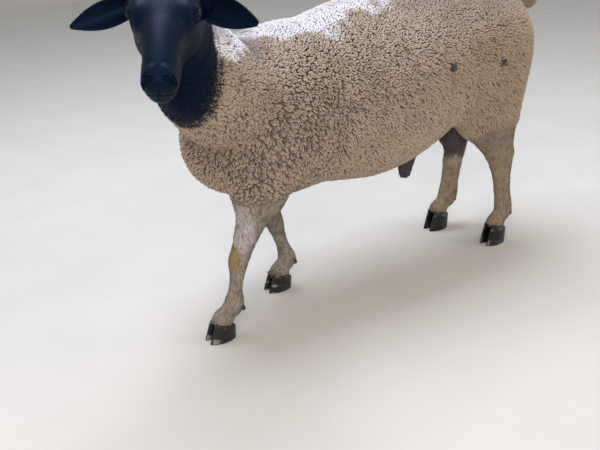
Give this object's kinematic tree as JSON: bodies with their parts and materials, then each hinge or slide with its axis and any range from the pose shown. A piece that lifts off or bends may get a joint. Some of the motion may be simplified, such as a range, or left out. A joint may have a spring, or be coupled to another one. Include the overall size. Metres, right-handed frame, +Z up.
{
  "type": "dorper ram",
  "caption": "Life-size still Dorper ram with a black head and curly fleece, standing in a half stride with its head turned to its left.",
  "frame": {"origin": "on the floor, below the middle of the whole animal's box", "axes": "+Z up, -X towards the chest, -Y to the animal's left side"},
  "size_m": [1.2343, 0.5622, 0.79],
  "materials": {
    "fleece": "matt curly wool",
    "black_hair": "short sleek hair",
    "cream_hair": "short hair",
    "hoof_horn": "satin horn",
    "eye": "wet gloss",
    "bare_skin": "bare skin with thin hair"
  },
  "bodies": {
    "root": {"claw_fore_left_inner": "hoof_horn", "claw_fore_left_outer": "hoof_horn", "claw_fore_right_inner": "hoof_horn", "claw_fore_right_outer": "hoof_horn", "claw_hind_left_inner": "hoof_horn", "claw_hind_left_outer": "hoof_horn", "claw_hind_right_inner": "hoof_horn", "claw_hind_right_outer": "hoof_horn", "dewclaw_fore_left_inner": "hoof_horn", "dewclaw_fore_left_outer": "hoof_horn", "dewclaw_fore_right_inner": "hoof_horn", "dewclaw_fore_right_outer": "hoof_horn", "dewclaw_hind_left_inner": "hoof_horn", "dewclaw_hind_left_outer": "hoof_horn", "dewclaw_hind_right_inner": "hoof_horn", "dewclaw_hind_right_outer": "hoof_horn", "ear_left": "black_hair", "ear_right": "black_hair", "eye_left": "eye", "eye_right": "eye", "foreleg_left": "cream_hair", "foreleg_right": "cream_hair", "head": "black_hair", "hindleg_left": "cream_hair", "hindleg_right": "cream_hair", "neck": "fleece", "scrotum": "bare_skin", "sheath": "bare_skin", "tail": "fleece", "torso": "fleece"}
  },
  "joints": []
}
